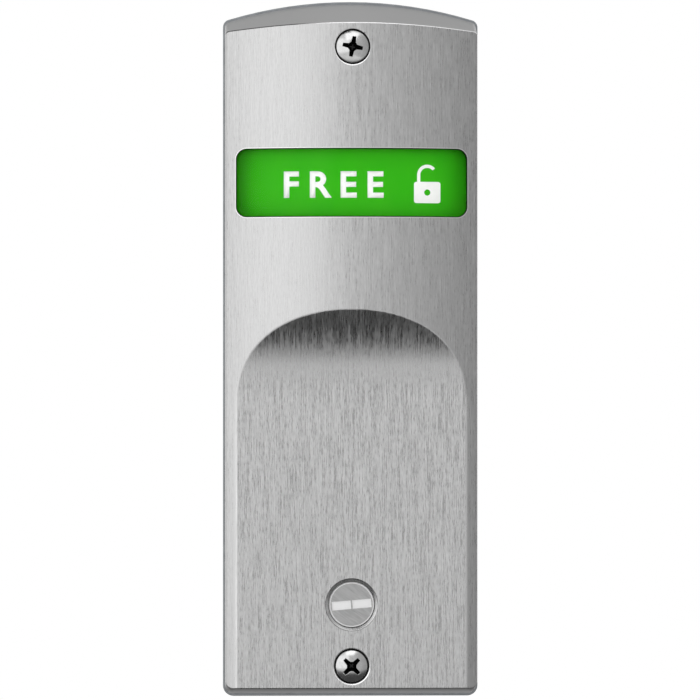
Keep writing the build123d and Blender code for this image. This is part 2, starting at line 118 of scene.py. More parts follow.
def add(tree, kind, inputs=None, **settings):
    """Add one node, set its properties, and set or link its inputs."""
    made = tree.nodes.new("ShaderNode" + kind)
    for name, value in settings.items():
        setattr(made, name, value)
    for socket, value in (inputs or {}).items():
        if isinstance(value, bpy.types.NodeSocket):
            tree.links.new(value, made.inputs[socket])
        else:
            made.inputs[socket].default_value = value
    return made


def material(name):
    """A new material, its emptied node tree, and the output node put into it."""
    made = bpy.data.materials.new(name)
    made.use_nodes = True
    made.node_tree.nodes.clear()
    return made, made.node_tree, add(made.node_tree, "OutputMaterial")


# The belt's marks on the cover. A 180 grit belt leaves marks of 0.08 mm. They are drawn nearly three times
# as wide, so that they show
MARK_WIDTH = 0.22 * MM
NICK_LENGTH = 1.5 * MM
MARK_LENGTH = 6.5 * MM
BAND_WIDTH = 0.8 * MM
BAND_LENGTH = 18.0 * MM
MARK_SHARE = 0.55
BAND_SHARE = 0.2
CROWN_GRAIN = 0.48
GRAIN_CONTRAST = 3.6
GRAIN_RELIEF = 0.03 * MM
GRAIN_ROUGH_FROM = 0.25
GRAIN_ROUGH = (0.26, 0.56)
SHEEN_SPREAD = 0.6

# Parts of the surface's normal: where a mask starts, and where it is full
SIDE_WALL = (0.72, 0.78)
END_FACE = (0.75, 0.9)
SEAM_FRONT = (0.08, 0.2)
SEAM_BACK = (0.93, 0.8)
LIP_LIFT = (0.01, 0.06)
UNDERSIDE = -0.8

# Sizes of the marks that making leaves on the cover, and of the painted shade and painted highlights laid on
# it
CUT_DEPTH = (0.1 * MM, 0.4 * MM)
CROWN_SKIN = 0.3 * MM
SEAM_REACH = 10.0 * MM
SEAM_LIT_SPAN = (-13.0 * MM, -5.0 * MM)
CREST_START = 0.01 * MM
CREST_WIDTH = 0.6 * MM
CREST_TOP = 52.0 * MM
CREST_FADE = 8.0 * MM
BOTTOM_SHADE_FRONT = 2.0 * MM
BOTTOM_SHADE_BACK = 1.0 * MM
RIM_BRIGHT = 0.38 * MM
RIM_DARK = 0.20 * MM
OUTER_SHADE_WIDTH = 0.16 * MM
BORE_EDGE = 0.08 * MM
LIP_WIDTH = 0.35 * MM
SINK_SHADE_EDGE = 0.07 * MM


def belt_grain(tree, at, facing):
    """The belt's marks, which swing about 0.5: up the front, down into the scoop, up the side walls."""
    sideways = add(tree, "Math", {0: facing.outputs["X"]}, operation="ABSOLUTE")
    on_side = add(tree, "MapRange", {"Value": sideways.outputs[0], "From Min": SIDE_WALL[0],
                                     "From Max": SIDE_WALL[1]})
    across = add(tree, "Mix", {"Factor": on_side.outputs[0], "A": at.outputs["X"], "B": at.outputs["Y"]},
                 data_type="FLOAT")
    belt = add(tree, "CombineXYZ", {"X": across.outputs[0], "Y": at.outputs["Z"]})
    layers = []
    for width, length in ((MARK_WIDTH, NICK_LENGTH), (MARK_WIDTH, MARK_LENGTH), (BAND_WIDTH, BAND_LENGTH)):
        scaled = add(tree, "VectorMath", {0: belt.outputs[0], 1: (1 / width, 1 / length, 0)},
                     operation="MULTIPLY")
        layers.append(add(tree, "TexNoise", {"Vector": scaled.outputs[0], "Scale": 1.0, "Detail": 1.0},
                          noise_dimensions="2D"))
    nicks, marks, bands = layers
    grain = add(tree, "Mix", {"Factor": MARK_SHARE, "A": nicks.outputs["Fac"], "B": marks.outputs["Fac"]},
                data_type="FLOAT")
    return add(tree, "Mix", {"Factor": BAND_SHARE, "A": grain.outputs[0], "B": bands.outputs["Fac"]},
               data_type="FLOAT")


def grain_depth(tree, facing, radius):
    """How deep the grain is: finer on the crown, full in the cut scoop and flat, none on the two ends."""
    cut = add(tree, "MapRange", {
        "Value": radius.outputs["Value"], "From Min": CROWN_RADIUS - CUT_DEPTH[0],
        "From Max": CROWN_RADIUS - CUT_DEPTH[1], "To Min": CROWN_GRAIN, "To Max": 1.0})
    upward = add(tree, "Math", {0: facing.outputs["Z"]}, operation="ABSOLUTE")
    brushed = add(tree, "MapRange", {"Value": upward.outputs[0], "From Min": END_FACE[0],
                                     "From Max": END_FACE[1], "To Min": 1.0, "To Max": 0.0})
    return add(tree, "Math", {0: cut.outputs[0], 1: brushed.outputs[0]}, operation="MULTIPLY")


def painted_seam_light(tree, at, facing, on_crown):
    """Painted shade and painted highlight on the seam under the top end: painted dark on the left, painted
    white on the right.
    """
    seam = add(tree, "MapRange", {"Value": facing.outputs["Z"], "From Min": SEAM_FRONT[0],
                                  "From Max": SEAM_FRONT[1]})
    before_end = add(tree, "MapRange", {"Value": facing.outputs["Z"], "From Min": SEAM_BACK[0],
                                        "From Max": SEAM_BACK[1]})
    near_top = add(tree, "Math", {0: at.outputs["Z"], 1: cover_high.z - SEAM_REACH},
                   operation="GREATER_THAN")
    for mask in (before_end, near_top, on_crown):
        seam = add(tree, "Math", {0: seam.outputs[0], 1: mask.outputs[0]}, operation="MULTIPLY")
    lit_right = add(tree, "MapRange", {"Value": at.outputs["X"], "From Min": SEAM_LIT_SPAN[0],
                                    "From Max": SEAM_LIT_SPAN[1]})
    tone = add(tree, "Mix", {0: lit_right.outputs[0], 6: linear("#5A5A5A"), 7: linear("#FFFFFF")},
               data_type="RGBA")
    return [(seam, tone.outputs[2])]


def painted_crest_highlight(tree, at, on_crown):
    """A painted highlight along the crests of the two shoulders beside the flat."""
    crest = add(tree, "MapRange", {"Value": at.outputs["Y"], "From Min": flat_front + CREST_WIDTH,
                                   "From Max": flat_front})
    below = add(tree, "MapRange", {"Value": at.outputs["Z"], "From Min": CREST_TOP,
                                   "From Max": CREST_TOP - CREST_FADE})
    past_flat = add(tree, "Math", {0: at.outputs["Y"], 1: flat_front + CREST_START},
                    operation="GREATER_THAN")
    for mask in (on_crown, below, past_flat):
        crest = add(tree, "Math", {0: crest.outputs[0], 1: mask.outputs[0]}, operation="MULTIPLY")
    return [(crest, linear("#CCCCCC"))]


def painted_bottom_shade(tree, at, facing):
    """The bottom end, painted dark towards the front and pale towards the door: painted shade."""
    under = add(tree, "Math", {0: facing.outputs["Z"], 1: UNDERSIDE}, operation="LESS_THAN")
    backward = add(tree, "MapRange", {"Value": at.outputs["Y"], "From Min": flat_front + BOTTOM_SHADE_FRONT,
                                      "From Max": cover_high.y - BOTTOM_SHADE_BACK})
    tone = add(tree, "Mix", {0: backward.outputs[0], 6: linear("#7A7A7A"), 7: linear("#FFFFFF")},
               data_type="RGBA")
    return [(under, tone.outputs[2])]


def painted_window_rim(tree, upright):
    """The window's broken edge: a painted highlight outside and painted shade inside."""
    straight = (WINDOW_WIDTH / 2 - WINDOW_CORNER, 0, WINDOW_HEIGHT / 2 - WINDOW_CORNER)
    corner = add(tree, "VectorMath", {0: upright.outputs[0], 1: (0, 0, window_middle)}, operation="SUBTRACT")
    corner = add(tree, "VectorMath", {0: corner.outputs[0]}, operation="ABSOLUTE")
    corner = add(tree, "VectorMath", {0: corner.outputs[0], 1: straight}, operation="SUBTRACT")
    corner = add(tree, "VectorMath", {0: corner.outputs[0], 1: (0, 0, 0)}, operation="MAXIMUM")
    outside = add(tree, "VectorMath", {0: corner.outputs[0]}, operation="LENGTH")
    tones = []
    for width, shade in ((RIM_BRIGHT, "#E6E6E6"), (RIM_DARK, "#202020")):
        rim = add(tree, "Math", {0: outside.outputs["Value"], 1: WINDOW_CORNER + width},
                  operation="LESS_THAN")
        tones.append((rim, linear(shade)))
    return tones


def turn_hole_finish_and_shade(tree, upright):
    """The turned chamfer round the coin turn, lighter than the brushed face as its turned finish and as
    painted light, between two edges of painted shade.
    """
    from_turn = add(tree, "VectorMath", {0: upright.outputs[0]}, operation="LENGTH")
    tones = []
    for reach, shade in ((TURN_CHAMFER_RADIUS + OUTER_SHADE_WIDTH, "#7C7C7C"), (TURN_CHAMFER_RADIUS, "#D8D8D8"),
                         (TURN_HOLE_RADIUS + BORE_EDGE, "#2C2C2C")):
        disc = add(tree, "Math", {0: from_turn.outputs["Value"], 1: reach}, operation="LESS_THAN")
        tones.append((disc, linear(shade)))
    return tones


def painted_countersink_light(tree, facing, upright):
    """Painted shade in the two countersinks, and a painted highlight on their lower edges where the top
    light falls.
    """
    to_upper = add(tree, "VectorMath", {0: upright.outputs[0], 1: (0, 0, upper_screw_z)},
                   operation="DISTANCE")
    to_lower = add(tree, "VectorMath", {0: upright.outputs[0], 1: (0, 0, lower_screw_z)},
                   operation="DISTANCE")
    to_screw = add(tree, "Math", {0: to_upper.outputs["Value"], 1: to_lower.outputs["Value"]},
                   operation="MINIMUM")
    near = add(tree, "Math", {0: to_screw.outputs[0], 1: SINK_RADIUS + LIP_WIDTH}, operation="LESS_THAN")
    lifted = add(tree, "MapRange", {"Value": facing.outputs["Z"], "From Min": LIP_LIFT[0],
                                    "From Max": LIP_LIFT[1]})
    lip_highlight = add(tree, "Math", {0: near.outputs[0], 1: lifted.outputs[0]}, operation="MULTIPLY")
    sink_shade = add(tree, "Math", {0: to_screw.outputs[0], 1: SINK_RADIUS - SINK_SHADE_EDGE},
                  operation="LESS_THAN")
    return [(lip_highlight, linear("#FAFAFA")), (sink_shade, linear("#1C1C1C"))]


def brushed_stainless():
    """Cast stainless steel, linished upright: short fine streaks and a sheen that spreads sideways."""
    made, tree, out = material("brushed_stainless")
    place = add(tree, "TexCoord")
    at = add(tree, "SeparateXYZ", {0: place.outputs["Object"]})
    facing = add(tree, "SeparateXYZ", {0: place.outputs["Normal"]})
    upright = add(tree, "VectorMath", {0: place.outputs["Object"], 1: (1, 0, 1)}, operation="MULTIPLY")

    # The scoop and the flat lie inside the crown's radius. They are cut, then linished coarser
    from_axis = add(tree, "VectorMath", {0: place.outputs["Object"], 1: (0, crown_axis, 0)},
                    operation="SUBTRACT")
    level = add(tree, "VectorMath", {0: from_axis.outputs[0], 1: (1, 1, 0)}, operation="MULTIPLY")
    radius = add(tree, "VectorMath", {0: level.outputs[0]}, operation="LENGTH")
    on_crown = add(tree, "Math", {0: radius.outputs["Value"], 1: CROWN_RADIUS - CROWN_SKIN},
                   operation="GREATER_THAN")

    grain = belt_grain(tree, at, facing)
    depth = grain_depth(tree, facing, radius)
    swing = add(tree, "Math", {0: grain.outputs[0], 1: 0.5}, operation="SUBTRACT")
    swing = add(tree, "Math", {0: swing.outputs[0], 1: depth.outputs[0]}, operation="MULTIPLY")
    streak = add(tree, "Math", {0: swing.outputs[0], 1: GRAIN_CONTRAST, 2: 0.5}, operation="MULTIPLY_ADD")
    colour = add(tree, "Mix", {0: streak.outputs[0], 6: linear("#A6A6A6"), 7: linear("#D6D6D6")},
                 data_type="RGBA")
    rough = add(tree, "MapRange", {"Value": streak.outputs[0], "From Min": GRAIN_ROUGH_FROM,
                                   "To Min": GRAIN_ROUGH[0], "To Max": GRAIN_ROUGH[1]})

    # Painted shade and painted highlights, with the turned chamfer's own tone, each laid over the ones
    # before it
    tones = painted_seam_light(tree, at, facing, on_crown) + painted_crest_highlight(tree, at, on_crown)
    tones += painted_bottom_shade(tree, at, facing) + painted_window_rim(tree, upright)
    tones += turn_hole_finish_and_shade(tree, upright) + painted_countersink_light(tree, facing, upright)
    for mask, tone in tones:
        colour = add(tree, "Mix", {0: mask.outputs[0], 6: colour.outputs[2], 7: tone}, data_type="RGBA")

    # The sheen spreads level, across the marks
    bump = add(tree, "Bump", {"Height": streak.outputs[0], "Strength": 0.3, "Distance": GRAIN_RELIEF})
    surface = add(tree, "NewGeometry")
    level_way = add(tree, "VectorMath", {0: (0, 0, 1), 1: surface.outputs["Normal"]},
                    operation="CROSS_PRODUCT")
    shader = add(tree, "BsdfPrincipled", {
        "Base Color": colour.outputs[2], "Metallic": 1.0, "Roughness": rough.outputs[0],
        "Anisotropic": SHEEN_SPREAD, "Normal": bump.outputs[0], "Tangent": level_way.outputs[0]})
    tree.links.new(shader.outputs[0], out.inputs[0])
    return made


# Noise lies mostly between these two values. A metal's roughness wanders between two shares of its own
NOISE_LOW, NOISE_HIGH = 0.3, 0.7
SMOOTHER, ROUGHER = 0.7, 1.3


def plain_metal(name, dark, light, roughness, spot, relief):
    """A metal whose tone and roughness wander over spots of one size, with a low relief."""
    made, tree, out = material(name)
    place = add(tree, "TexCoord")
    cloud = add(tree, "TexNoise", {"Vector": place.outputs["Object"], "Scale": 1 / spot, "Detail": 4.0})
    colour = add(tree, "ValToRGB", {"Fac": cloud.outputs["Fac"]})
    colour.color_ramp.elements[0].position = NOISE_LOW
    colour.color_ramp.elements[0].color = linear(dark)
    colour.color_ramp.elements[1].position = NOISE_HIGH
    colour.color_ramp.elements[1].color = linear(light)
    rough = add(tree, "MapRange", {"Value": cloud.outputs["Fac"], "To Min": roughness * SMOOTHER,
                                   "To Max": roughness * ROUGHER})
    bump = add(tree, "Bump", {"Height": cloud.outputs["Fac"], "Strength": 0.3, "Distance": relief})
    shader = add(tree, "BsdfPrincipled", {
        "Base Color": colour.outputs[0], "Metallic": 1.0, "Roughness": rough.outputs[0],
        "Normal": bump.outputs[0]})
    tree.links.new(shader.outputs[0], out.inputs[0])
    return made


def zinc_plated_steel():
    """Bright zinc plate on stamped steel: cool grey with a faint cloudy spangle."""
    return plain_metal("zinc_plated_steel", "#84878A", "#96999C",
                       roughness=0.34, spot=1.8 * MM, relief=0.01 * MM)


def polished_stainless():
    """Polished stainless steel screw: sharp reflections, hardly any texture."""
    return plain_metal("polished_stainless", "#B9B9B9", "#C9C9C9",
                       roughness=0.17, spot=1.2 * MM, relief=0.002 * MM)


def painted_recess_shade():
    """The screw's recess, painted near black as painted shade: only its edges catch light."""
    return plain_metal("painted_recess_shade", "#262626", "#3E3E3E",
                       roughness=0.42, spot=0.5 * MM, relief=0.004 * MM)


def satin_chrome():
    """Satin chrome plate: soft reflections and fine slanting scratches, with a painted reflection inside the
    slot and a painted highlight round the face's edge.
    """
    made, tree, out = material("satin_chrome")
    place = add(tree, "TexCoord")
    # Real scratches are about 0.05 mm wide. They are drawn wider, so that they show
    scratch_width, scratch_length, scratch_slant = 0.22 * MM, 2.4 * MM, math.radians(-35)
    lie = add(tree, "Mapping", {"Vector": place.outputs["Object"], "Rotation": (0, scratch_slant, 0)})
    stretch = add(tree, "VectorMath", {0: lie.outputs[0], 1: (
        1 / scratch_length, 1 / scratch_width, 1 / scratch_width)}, operation="MULTIPLY")
    scratches = add(tree, "TexNoise", {"Vector": stretch.outputs[0], "Scale": 1.0, "Detail": 2.0})
    colour = add(tree, "ValToRGB", {"Fac": scratches.outputs["Fac"]})
    colour.color_ramp.elements[0].position = NOISE_LOW
    colour.color_ramp.elements[0].color = linear("#A6A6A6")
    colour.color_ramp.elements[1].position = NOISE_HIGH
    colour.color_ramp.elements[1].color = linear("#BCBCBC")
    at = add(tree, "SeparateXYZ", {0: place.outputs["Object"]})
    # Painted reflection: the inside of the slot is painted near white
    slot = add(tree, "Math", {0: at.outputs["Y"], 1: turn_low.y + SLOT_DEPTH / 2}, operation="GREATER_THAN")
    colour = add(tree, "Mix", {0: slot.outputs[0], 6: colour.outputs[0], 7: linear("#FAFAFA")},
                 data_type="RGBA")
    # Painted highlight: the broken edge of the round face is painted bright
    upright = add(tree, "VectorMath", {0: place.outputs["Object"], 1: (1, 0, 1)}, operation="MULTIPLY")
    from_axis = add(tree, "VectorMath", {0: upright.outputs[0]}, operation="LENGTH")
    edge = add(tree, "Math", {0: from_axis.outputs["Value"], 1: TURN_RADIUS - TURN_EDGE},
               operation="GREATER_THAN")
    colour = add(tree, "Mix", {0: edge.outputs[0], 6: colour.outputs[2], 7: linear("#F4F4F4")},
                 data_type="RGBA")
    rough = add(tree, "MapRange", {"Value": scratches.outputs["Fac"], "To Min": 0.24, "To Max": 0.38})
    bump = add(tree, "Bump", {"Height": scratches.outputs["Fac"], "Strength": 0.2, "Distance": 0.01 * MM})
    shader = add(tree, "BsdfPrincipled", {
        "Base Color": colour.outputs[2], "Metallic": 1.0, "Roughness": rough.outputs[0],
        "Normal": bump.outputs[0]})
    tree.links.new(shader.outputs[0], out.inputs[0])
    return made


def spring_steel():
    """Oiled spring steel: darker, slightly blue grey."""
    return plain_metal("spring_steel", "#74777C", "#8E9196",
                       roughness=0.3, spot=1.0 * MM, relief=0.004 * MM)


def bearing_brass():
    """Turned brass: warm yellow, satin from the tool."""
    return plain_metal("bearing_brass", "#C29A54", "#DDBB74",
                       roughness=0.26, spot=0.8 * MM, relief=0.004 * MM)


# The low-glare coat reflects about a tenth of what bare polycarbonate does. This index gives that share
COAT_INDEX = 1.15
LENS_RIPPLE = 9.0 * MM


def clear_polycarbonate():
    """Clear polycarbonate with a low-glare coat: hardly there, with a faint gloss on its outer face."""
    made, tree, out = material("clear_polycarbonate")
    place = add(tree, "TexCoord")
    ripple = add(tree, "TexNoise", {"Vector": place.outputs["Object"], "Scale": 1 / LENS_RIPPLE})
    bump = add(tree, "Bump", {"Height": ripple.outputs["Fac"], "Strength": 0.15, "Distance": 0.02 * MM})
    gloss = add(tree, "BsdfGlossy", {"Color": linear("#FFFFFF"), "Roughness": 0.08,
                                     "Normal": bump.outputs[0]})
    clear = add(tree, "BsdfTransparent", {"Color": linear("#FFFFFF")})
    sheen = add(tree, "Fresnel", {"IOR": COAT_INDEX, "Normal": bump.outputs[0]})
    face = add(tree, "NewGeometry")
    outer = add(tree, "Math", {0: 1.0, 1: face.outputs["Backfacing"]}, operation="SUBTRACT")
    share = add(tree, "Math", {0: sheen.outputs[0], 1: outer.outputs[0]}, operation="MULTIPLY")
    shader = add(tree, "MixShader", {0: share.outputs[0], 1: clear.outputs[0], 2: gloss.outputs[0]})
    tree.links.new(shader.outputs[0], out.inputs[0])
    return made


def plastic(name, dark, light, roughness, spot, relief, shine=0.5):
    """A moulded, printed or foamed plastic whose tone wanders a little over spots of one size."""
    made, tree, out = material(name)
    place = add(tree, "TexCoord")
    cloud = add(tree, "TexNoise", {"Vector": place.outputs["Object"], "Scale": 1 / spot, "Detail": 3.0})
    colour = add(tree, "ValToRGB", {"Fac": cloud.outputs["Fac"]})
    colour.color_ramp.elements[0].position = NOISE_LOW
    colour.color_ramp.elements[0].color = linear(dark)
    colour.color_ramp.elements[1].position = NOISE_HIGH
    colour.color_ramp.elements[1].color = linear(light)
    bump = add(tree, "Bump", {"Height": cloud.outputs["Fac"], "Strength": 0.3, "Distance": relief})
    shader = add(tree, "BsdfPrincipled", {
        "Base Color": colour.outputs[0], "Roughness": roughness, "Specular IOR Level": shine,
        "Normal": bump.outputs[0]})
    tree.links.new(shader.outputs[0], out.inputs[0])
    return made


def foam_tape():
    """Black closed-cell foam: matte, with pores."""
    return plastic("foam_tape", "#0E0E0E", "#1B1B1B",
                   roughness=0.95, spot=0.3 * MM, relief=0.05 * MM)


def moulded_acetal():
    """Natural white acetal, moulded: a waxy satin."""
    return plastic("moulded_acetal", "#E2E1DB", "#EBEAE5",
                   roughness=0.42, spot=2.5 * MM, relief=0.01 * MM)


def green_film():
    """Printed green film behind the lens: matte, so that its colour stays deep."""
    return plastic("green_film", "#2EAE0B", "#36B211",
                   roughness=0.6, spot=6.0 * MM, relief=0.003 * MM, shine=0.05)


def red_film():
    """Printed red film behind the lens: matte, so that its colour stays deep."""
    return plastic("red_film", "#BE1216", "#C6171B",
                   roughness=0.6, spot=6.0 * MM, relief=0.003 * MM, shine=0.05)


def white_ink():
    """White screen ink on the films: flat and a little chalky."""
    return plastic("white_ink", "#F4F5F3", "#FAFBF9",
                   roughness=0.6, spot=1.5 * MM, relief=0.003 * MM, shine=0.05)


def nylon():
    """Natural nylon washer: creamy and matte."""
    return plastic("nylon", "#DEDACB", "#E8E4D8",
                   roughness=0.55, spot=1.0 * MM, relief=0.01 * MM)


finishes = {made.name: made for made in (
    brushed_stainless(), zinc_plated_steel(), polished_stainless(), painted_recess_shade(), satin_chrome(),
    spring_steel(), bearing_brass(), clear_polycarbonate(), foam_tape(), moulded_acetal(), green_film(),
    red_film(), nylon(), white_ink())}

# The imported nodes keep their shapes: each gets its finish and the edge break that its maker leaves
edge_breaks = {
    "front_cover": 0.22 * MM,
    "mounting_plate": 0.15 * MM,
    "coin_turn": TURN_EDGE,
    "window_lens": 0.12 * MM,
}
WIDE_BREAKS = ("front_cover", "mounting_plate")
FINE_EDGE = 0.08 * MM
EDGE_SEGMENTS = 2
FACE_WEIGHT = 80
SAME_POINT = 0.002 * MM
FLAT_ENOUGH = math.radians(0.8)
SHARP = math.radians(32.0)
slot_of = {row["node"]: row["material_slot"] for row in frame["record"]["subparts"]}


def break_edges(piece, width, clamped=True):
    """Break a piece's sharp edges and shade its faces evenly up to them."""
    edge = piece.modifiers.new("edge_break", "BEVEL")
    edge.width = width
    edge.segments = EDGE_SEGMENTS
    edge.limit_method = "ANGLE"
    edge.angle_limit = SHARP
    edge.use_clamp_overlap = clamped
    smooth = piece.modifiers.new("even_shading", "WEIGHTED_NORMAL")
    smooth.keep_sharp = False
    smooth.weight = FACE_WEIGHT


def dress(name):
    """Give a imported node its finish, smooth shading and broken edges. The points of its mesh stay."""
    piece = nodes[name]
    piece.data.materials.clear()
    piece.data.materials.append(finishes[slot_of[name]])
    for face in piece.data.polygons:
        face.use_smooth = True
    weld = piece.modifiers.new("join_faces", "WELD")
    weld.merge_threshold = SAME_POINT
    flat = piece.modifiers.new("one_face_a_plane", "DECIMATE")
    flat.decimate_type = "DISSOLVE"
    flat.angle_limit = FLAT_ENOUGH
    # The clamp shrinks edge breaks to a piece's shortest facet, too fine to see on the cover
    break_edges(piece, edge_breaks.get(name, FINE_EDGE), name not in WIDE_BREAKS)


for name in nodes:
    dress(name)


def mesh_piece(name, made, finish, body):
    """Turn a bmesh into a piece that rides on a body and has a finish."""
    data = bpy.data.meshes.new(name)
    bmesh.ops.recalc_face_normals(made, faces=made.faces)
    made.to_mesh(data)
    made.free()
    piece = bpy.data.objects.new(name, data)
    scene.collection.objects.link(piece)
    data.materials.append(finishes[finish])
    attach(piece, body)
    return piece


def settled(piece):
    """Work out a piece's modifiers and keep only the result."""
    graph = bpy.context.evaluated_depsgraph_get()
    data = bpy.data.meshes.new_from_object(piece.evaluated_get(graph))
    old = piece.data
    piece.modifiers.clear()
    piece.data = data
    bpy.data.meshes.remove(old)


# Cover screws: oval heads with a cross recess

SCREW_HEAD_RADIUS = 3.80 * MM
SCREW_DOME = 1.05 * MM
SCREW_SHANK_RADIUS = 2.08 * MM
SCREW_LENGTH = 9.5 * MM
SCREW_EDGE = 0.07 * MM
SCREW_STEPS = 64
DOME_STEPS = 10
RECESS_REACH = 2.85 * MM
RECESS_WING = 0.62 * MM
RECESS_WAIST = 0.86 * MM
RECESS_DEPTH = 3.2 * MM
# Shares of the recess's sizes: a wing's width at its tip, how far out its root lies, the cutter's ends
RECESS_TIP = 0.8
RECESS_SHOULDER = 1.3
RECESS_MOUTH = 1.25
RECESS_FLOOR = 0.22


def lathe(profile, steps):
    """A closed solid turned about Y from points given as (radius, y), from the front to the tip."""
    made = bmesh.new()
    rings = []
    for radius, y in profile:
        if radius == 0:
            rings.append([made.verts.new((0, y, 0))])
            continue
        turn = [2 * math.pi * i / steps for i in range(steps)]
        rings.append([made.verts.new((radius * math.cos(a), y, radius * math.sin(a))) for a in turn])
    for before, after in zip(rings, rings[1:]):
        for i in range(steps):
            j = (i + 1) % steps
            if len(before) == 1:
                made.faces.new((before[0], after[i], after[j]))
            elif len(after) == 1:
                made.faces.new((before[i], before[j], after[0]))
            else:
                made.faces.new((before[i], before[j], after[j], after[i]))
    return made


def cross_punch(front):
    """The tapered four-winged cutter of a cross recess."""
    made = bmesh.new()
    outline = []
    for quarter in range(4):
        turn = Matrix.Rotation(quarter * math.pi / 2, 2)
        for x, z in ((RECESS_REACH, -RECESS_WING * RECESS_TIP), (RECESS_REACH, RECESS_WING * RECESS_TIP),
                     (RECESS_WAIST * RECESS_SHOULDER, RECESS_WING), (RECESS_WAIST, RECESS_WAIST),
                     (RECESS_WING, RECESS_WAIST * RECESS_SHOULDER)):
            outline.append(turn @ Vector((x, z)))
    near_ring = [made.verts.new((p.x * RECESS_MOUTH, front - RECESS_DEPTH / 2, p.y * RECESS_MOUTH))
                 for p in outline]
    far_ring = [made.verts.new((p.x * RECESS_FLOOR, front + RECESS_DEPTH, p.y * RECESS_FLOOR))
                for p in outline]
    count = len(outline)
    made.faces.new(near_ring)
    made.faces.new(list(reversed(far_ring)))
    for i in range(count):
        j = (i + 1) % count
        made.faces.new((near_ring[i], far_ring[i], far_ring[j], near_ring[j]))
    bmesh.ops.recalc_face_normals(made, faces=made.faces)
    return made


def screw_profile(face):
    """The outline of an oval-head screw in its countersink, from the middle of its dome to its tip."""
    rim = face + (SINK_RADIUS - SCREW_HEAD_RADIUS) / math.tan(SINK_HALF_ANGLE)
    neck = rim + (SCREW_HEAD_RADIUS - SCREW_SHANK_RADIUS) / math.tan(SINK_HALF_ANGLE)
    ball = (SCREW_HEAD_RADIUS**2 + SCREW_DOME**2) / (2 * SCREW_DOME)
    reach = math.asin(SCREW_HEAD_RADIUS / ball)
    front = rim - SCREW_DOME
    profile = [(0, front)]
    for i in range(1, DOME_STEPS + 1):
        a = reach * i / DOME_STEPS
        profile.append((ball * math.sin(a), front + ball * (1 - math.cos(a))))
    profile += [(SCREW_SHANK_RADIUS, neck), (SCREW_SHANK_RADIUS, face + SCREW_LENGTH),
                (0, face + SCREW_LENGTH)]
    return profile


def cut_recess(screw, front):
    """Cut the cross recess into a screw's head, its walls in near black as painted shade."""
    screw.data.materials.append(finishes["painted_recess_shade"])
    data = bpy.data.meshes.new("punch")
    made = cross_punch(front)
    made.to_mesh(data)
    made.free()
    for layer in screw.data.materials:
        data.materials.append(layer)
    for polygon in data.polygons:
        polygon.material_index = 1
    punch = bpy.data.objects.new("punch", data)
    scene.collection.objects.link(punch)
    cut = screw.modifiers.new("recess", "BOOLEAN")
    cut.operation = "DIFFERENCE"
    cut.solver = "EXACT"
    cut.object = punch
    settled(screw)
    bpy.data.objects.remove(punch)


def cover_screw(name, face, z, clock):
    """An oval-head screw in its countersink, its recess turned by clock degrees."""
    profile = screw_profile(face)
    made = lathe(profile, SCREW_STEPS)
    screw = mesh_piece(name, made, "polished_stainless", "housing")
    cut_recess(screw, profile[0][1])
    screw.data.transform(Matrix.Translation((0, 0, z)) @ Matrix.Rotation(math.radians(clock), 4, "Y"))
    for polygon in screw.data.polygons:
        polygon.use_smooth = True
    break_edges(screw, SCREW_EDGE)
    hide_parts("cover_screws")


cover_screw("cover_screw_upper", crown_front, upper_screw_z, clock=11.0)
cover_screw("cover_screw_lower", flat_front, lower_screw_z, clock=45.0)


# Print on the two films: a plain word and a plain padlock, drawn flat and laid on the curve

INK = 0.04 * MM
WRAP_STEP = 1.0 * MM
WRAP_COUNT = 26
SAME_SPOT = 1e-7
CAP_HEIGHT = 6.1 * MM
LETTER_WEIGHT = 0.028
LETTER_STEPS = 6
label_radius = crown_axis - green_low.y


def wrap(made):
    """Bend flat artwork, drawn in X and Z, round the label and give it its thickness."""
    for step in range(-WRAP_COUNT, WRAP_COUNT + 1):
        geometry = made.verts[:] + made.edges[:] + made.faces[:]
        bmesh.ops.bisect_plane(made, geom=geometry, plane_co=(step * WRAP_STEP, 0, 0),
                               plane_no=(1, 0, 0), dist=SAME_SPOT)
    grown = bmesh.ops.extrude_face_region(made, geom=made.faces[:])
    front = [item for item in grown["geom"] if isinstance(item, bmesh.types.BMVert)]
    lifted = set(front)
    for vertex in made.verts:
        radius = label_radius + (INK if vertex in lifted else 0)
        vertex.co.y = crown_axis - math.sqrt(radius**2 - vertex.co.x**2)


def word(text, cap_height, centre_x, centre_z, spacing):
    """Flat lettering in the built-in sans, made bold and spaced out, as a bmesh."""
    curve = bpy.data.curves.new("word", "FONT")
    curve.body = text
    curve.size = 1.0
    curve.offset = LETTER_WEIGHT
    curve.space_character = spacing
    curve.resolution_u = LETTER_STEPS
    holder = bpy.data.objects.new("word", curve)
    scene.collection.objects.link(holder)
    bpy.context.view_layer.update()
    graph = bpy.context.evaluated_depsgraph_get()
    data = bpy.data.meshes.new_from_object(holder.evaluated_get(graph))
    bpy.data.objects.remove(holder)
    made = bmesh.new()
    made.from_mesh(data)
    bpy.data.meshes.remove(data)
    low = Vector([min(v.co[i] for v in made.verts) for i in range(3)])
    high = Vector([max(v.co[i] for v in made.verts) for i in range(3)])
    middle = (low + high) / 2
    scale = cap_height / (high.y - low.y)
    for vertex in made.verts:
        x, z = (vertex.co - middle).xy * scale
        vertex.co = (x + centre_x, 0, z + centre_z)
    bmesh.ops.remove_doubles(made, verts=made.verts, dist=SAME_SPOT)
    return made


CORNER_STEPS = 5


def arc(centre, radius, start, end, steps):
    """Points on an arc, in degrees anticlockwise from the right."""
    turns = [math.radians(start + (end - start) * i / steps) for i in range(steps + 1)]
    return [(centre[0] + radius * math.cos(a), centre[1] + radius * math.sin(a)) for a in turns]


